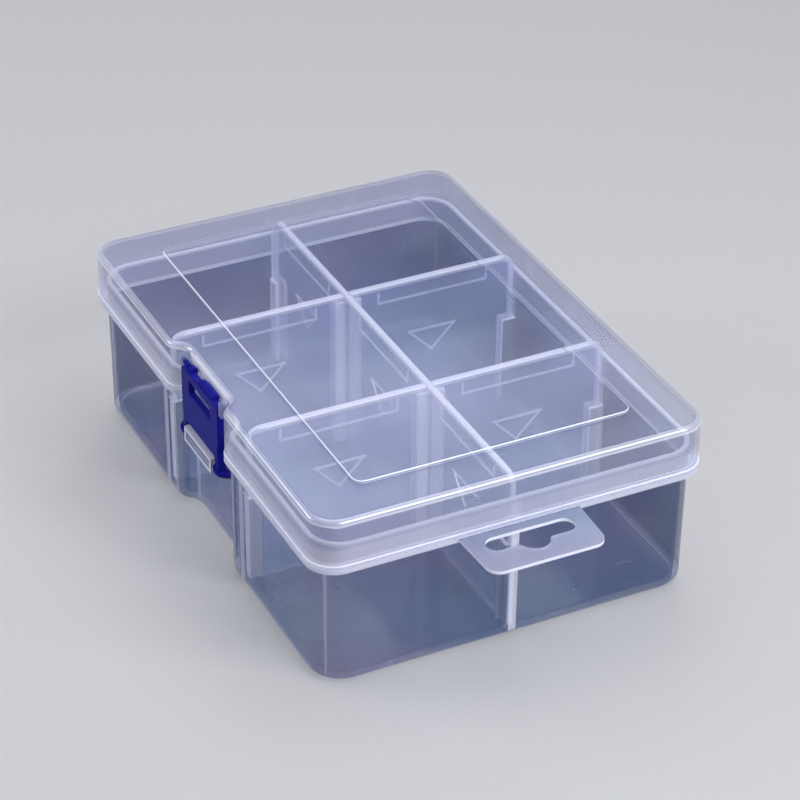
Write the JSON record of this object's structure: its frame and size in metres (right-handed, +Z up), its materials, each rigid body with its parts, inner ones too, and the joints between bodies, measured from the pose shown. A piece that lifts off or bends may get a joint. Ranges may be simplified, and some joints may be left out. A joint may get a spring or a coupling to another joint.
{
  "type": "compartment box",
  "caption": "Clear plastic bead box with six compartments, one hinged lid, a blue snap latch and a hang tab.",
  "frame": {"origin": "on the table, midway between the four feet under the tray", "axes": "+X along the box's long side towards the hang tab, +Y from the latch side to the hinge side, +Z up"},
  "size_m": [0.1843, 0.1244, 0.0569],
  "materials": {
    "clear_tray": "clear polypropylene, smooth moulded gloss",
    "clear_lid": "clear polypropylene, smooth moulded gloss",
    "clear_divider": "clear polypropylene, slightly frosted",
    "blue_latch": "dark blue polypropylene, smooth moulded gloss"
  },
  "bodies": {
    "base": {"base_tray": "clear_tray", "long_divider": "clear_divider", "divider_front_left": "clear_divider", "divider_front_right": "clear_divider", "divider_back_left": "clear_divider", "divider_back_right": "clear_divider"},
    "lid": {"lid": "clear_lid"},
    "latch": {"latch": "blue_latch"}
  },
  "joints": [
    {"name": "lid_hinge", "type": "hinge", "parent": "base", "child": "lid", "pos_m": [0, 0.0623, 0.0389], "axis": [-1, 0, 0], "range_deg": [0, 180]},
    {"name": "latch_hinge", "type": "hinge", "parent": "lid", "child": "latch", "pos_m": [0, -0.05715, 0.0522], "axis": [-1, 0, 0], "range_deg": [0, 100]}
  ]
}
